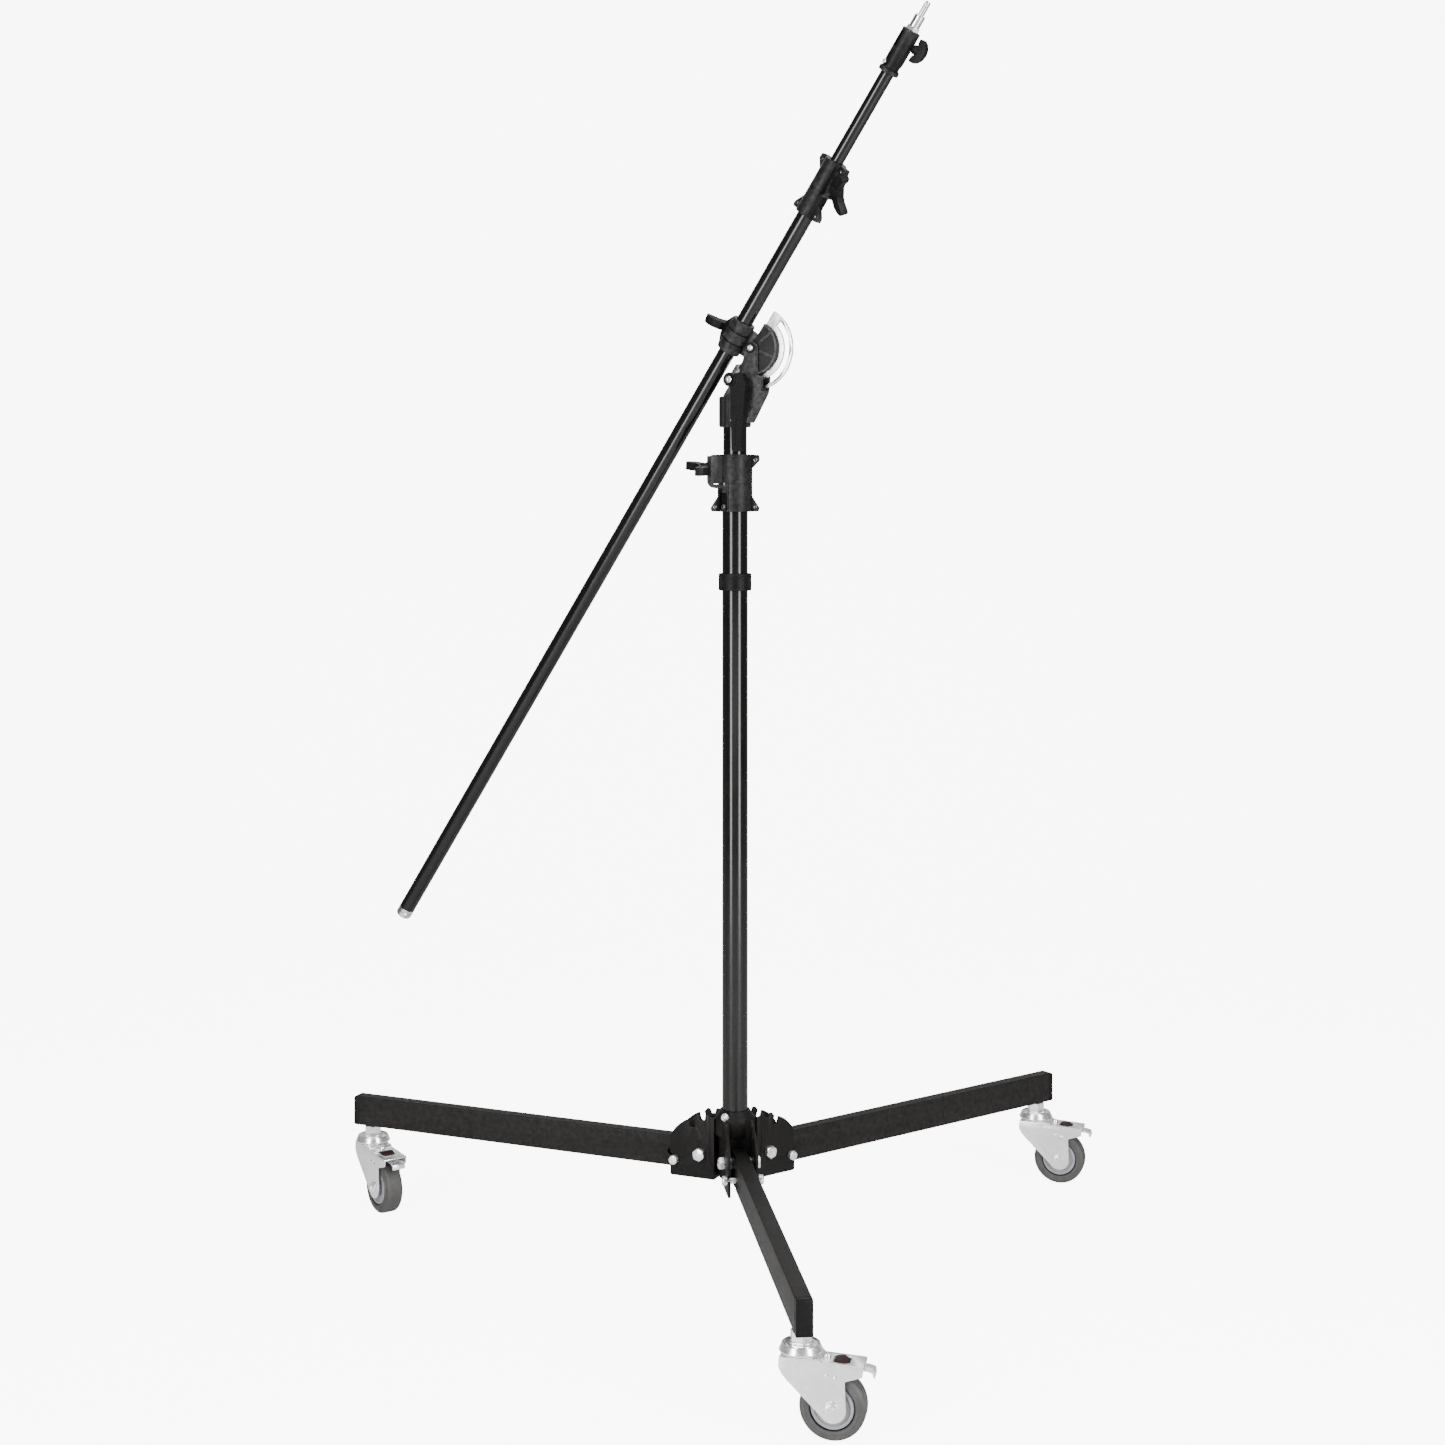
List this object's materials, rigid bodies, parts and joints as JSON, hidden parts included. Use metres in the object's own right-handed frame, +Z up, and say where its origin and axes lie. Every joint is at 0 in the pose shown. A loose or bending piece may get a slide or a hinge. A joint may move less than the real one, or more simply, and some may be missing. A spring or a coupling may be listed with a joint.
{
  "type": "rolling boom light stand",
  "caption": "Folding wheeled light stand with a telescopic column, tilting head, sliding telescopic boom, wing-knob clamps, spigot tip and braked swivel casters.",
  "frame": {"origin": "centre of the bounding box at floor level; the column axis stands 8.4 mm in +X and 126.0 mm in +Y from it", "axes": "+Z up along the column, +X to the right and +Y away as seen from the front, the side that the front leg points to"},
  "size_m": [1.1978, 1.059, 1.8302],
  "materials": {
    "powder_coat": "satin textured black",
    "gloss_tube": "gloss black",
    "casting": "black die casting, satin",
    "plastic": "fine-grained black",
    "zinc": "bright zinc plating",
    "chrome": "polished",
    "tyre": "mid-grey rubber",
    "wheel_core": "light grey-blue core"
  },
  "bodies": {
    "base": {"hub_body": "powder_coat", "hub_set_screw": "zinc", "column_tube": "gloss_tube", "column_ring": "plastic", "riser_clamp_body": "casting", "leg_bracket_front": "powder_coat", "pivot_bolt_front": "zinc", "leg_bracket_right": "powder_coat", "pivot_bolt_right": "zinc", "leg_bracket_left": "powder_coat", "pivot_bolt_left": "zinc"},
    "lock_front": {"lock_pin_front": "zinc"},
    "leg_front": {"leg_tube_front": "powder_coat", "leg_cap_front": "plastic", "caster_stem_front": "zinc"},
    "fork_front": {"caster_fork_front": "zinc", "axle_bolt_front": "zinc"},
    "wheel_front": {"wheel_core_front": "wheel_core", "tyre_front": "tyre"},
    "pedal_front": {"brake_pedal_front": "zinc"},
    "lock_right": {"lock_pin_right": "zinc"},
    "leg_right": {"leg_tube_right": "powder_coat", "leg_cap_right": "plastic", "caster_stem_right": "zinc"},
    "fork_right": {"caster_fork_right": "zinc", "axle_bolt_right": "zinc"},
    "wheel_right": {"wheel_core_right": "wheel_core", "tyre_right": "tyre"},
    "pedal_right": {"brake_pedal_right": "zinc"},
    "lock_left": {"lock_pin_left": "zinc"},
    "leg_left": {"leg_tube_left": "powder_coat", "leg_cap_left": "plastic", "caster_stem_left": "zinc"},
    "fork_left": {"caster_fork_left": "zinc", "axle_bolt_left": "zinc"},
    "wheel_left": {"wheel_core_left": "wheel_core", "tyre_left": "tyre"},
    "pedal_left": {"brake_pedal_left": "zinc"},
    "riser": {"riser_tube": "gloss_tube", "head_socket": "casting", "head_fork": "casting", "tilt_pivot_bolt": "zinc", "tilt_lock_bolt": "zinc"},
    "riser_knob": {"riser_knob": "plastic"},
    "lever": {"tilt_lever": "plastic", "lever_screw": "zinc"},
    "collar": {"boom_collar": "casting", "tilt_disc": "casting", "tilt_quadrant": "chrome"},
    "boom_knob": {"boom_knob": "plastic"},
    "boom": {"boom_tube": "gloss_tube", "boom_end_plug": "chrome", "ext_clamp_body": "casting"},
    "ext_knob": {"ext_knob": "plastic"},
    "extension": {"ext_tube": "gloss_tube", "tip_receiver": "casting", "tip_screw": "zinc"},
    "tip_knob": {"tip_knob": "plastic"},
    "spigot": {"spigot": "chrome"}
  },
  "joints": [
    {"name": "lock_front_pull", "type": "slide", "parent": "base", "child": "lock_front", "axis": [0.1055, -0.8596, 0.5], "range_m": [0, 0.012], "stiffness_N_per_m": 300},
    {"name": "leg_front_fold", "type": "hinge", "parent": "base", "child": "leg_front", "pos_m": [0.01409, 0.07936, 0.155], "axis": [-0.9925, -0.1219, 0], "range_deg": [0, 86]},
    {"name": "caster_front_swivel", "type": "hinge", "parent": "leg_front", "child": "fork_front", "pos_m": [0.08465, -0.49532, 0.1], "axis": [0, 0, 1], "continuous": true},
    {"name": "wheel_front_spin", "type": "hinge", "parent": "fork_front", "child": "wheel_front", "pos_m": [0.12391, -0.50296, 0.041], "axis": [0.1908, 0.9816, 0], "continuous": true},
    {"name": "pedal_front_press", "type": "hinge", "parent": "fork_front", "child": "pedal_front", "pos_m": [0.14158, -0.50639, 0.0875], "axis": [0.1908, 0.9816, 0], "range_deg": [0, 10]},
    {"name": "lock_right_pull", "type": "slide", "parent": "base", "child": "lock_right", "axis": [0.6916, 0.5212, 0.5], "range_m": [0, 0.012], "stiffness_N_per_m": 300},
    {"name": "leg_right_fold", "type": "hinge", "parent": "base", "child": "leg_right", "pos_m": [0.0459, 0.15429, 0.155], "axis": [0.6018, -0.7986, 0], "range_deg": [0, 86]},
    {"name": "caster_right_swivel", "type": "hinge", "parent": "leg_right", "child": "fork_right", "pos_m": [0.50831, 0.50275, 0.1], "axis": [0, 0, 1], "continuous": true},
    {"name": "wheel_right_spin", "type": "hinge", "parent": "fork_right", "child": "wheel_right", "pos_m": [0.54656, 0.49105, 0.041], "axis": [0.2924, 0.9563, 0], "continuous": true},
    {"name": "pedal_right_press", "type": "hinge", "parent": "fork_right", "child": "pedal_right", "pos_m": [0.56377, 0.48579, 0.0875], "axis": [0.2924, 0.9563, 0], "range_deg": [0, 10]},
    {"name": "lock_left_pull", "type": "slide", "parent": "base", "child": "lock_left", "axis": [-0.7972, 0.3384, 0.5], "range_m": [0, 0.012], "stiffness_N_per_m": 300},
    {"name": "leg_left_fold", "type": "hinge", "parent": "base", "child": "leg_left", "pos_m": [-0.0349, 0.14437, 0.155], "axis": [0.3907, 0.9205, 0], "range_deg": [0, 86]},
    {"name": "caster_left_swivel", "type": "hinge", "parent": "leg_left", "child": "fork_left", "pos_m": [-0.56788, 0.37061, 0.1], "axis": [0, 0, 1], "continuous": true},
    {"name": "wheel_left_spin", "type": "hinge", "parent": "fork_left", "child": "wheel_left", "pos_m": [-0.54493, 0.33784, 0.041], "axis": [0.8192, 0.5736, 0], "continuous": true},
    {"name": "pedal_left_press", "type": "hinge", "parent": "fork_left", "child": "pedal_left", "pos_m": [-0.53461, 0.3231, 0.0875], "axis": [0.8192, 0.5736, 0], "range_deg": [0, 10]},
    {"name": "riser_slide", "type": "slide", "parent": "base", "child": "riser", "axis": [0, 0, 1], "range_m": [0, 0.6]},
    {"name": "riser_knob_turn", "type": "hinge", "parent": "base", "child": "riser_knob", "pos_m": [-0.03057, 0.11558, 1.173], "axis": [-0.9659, -0.2588, 0], "range_deg": [0, 540]},
    {"name": "lever_swing", "type": "hinge", "parent": "riser", "child": "lever", "pos_m": [0.01938, 0.11912, 1.3039], "axis": [-0.5299, -0.848, 0], "range_deg": [-35, 50]},
    {"name": "boom_tilt", "type": "hinge", "parent": "riser", "child": "collar", "pos_m": [0.03889, 0.10693, 1.3506], "axis": [-0.5299, -0.848, 0], "range_deg": [-115, 2]},
    {"name": "boom_knob_turn", "type": "hinge", "parent": "collar", "child": "boom_knob", "pos_m": [0.00994, 0.11087, 1.36905], "axis": [-0.3388, 0.8013, 0.493], "range_deg": [0, 540]},
    {"name": "boom_slide", "type": "slide", "parent": "collar", "child": "boom", "axis": [0.4828, -0.3017, 0.8221], "range_m": [-0.16, 0.85]},
    {"name": "ext_knob_turn", "type": "hinge", "parent": "boom", "child": "ext_knob", "pos_m": [0.1386, 0.03048, 1.58815], "axis": [0.4993, -0.6764, -0.5414], "range_deg": [0, 540]},
    {"name": "ext_slide", "type": "slide", "parent": "boom", "child": "extension", "axis": [0.4828, -0.3017, 0.8221], "range_m": [-0.14, 0.5]},
    {"name": "tip_knob_turn", "type": "hinge", "parent": "extension", "child": "tip_knob", "pos_m": [0.24747, -0.03755, 1.77354], "axis": [0.6972, -0.4357, -0.5693], "range_deg": [0, 540]},
    {"name": "spigot_lift", "type": "slide", "parent": "extension", "child": "spigot", "axis": [0.4828, -0.3017, 0.8221], "range_m": [0, 0.03]}
  ]
}
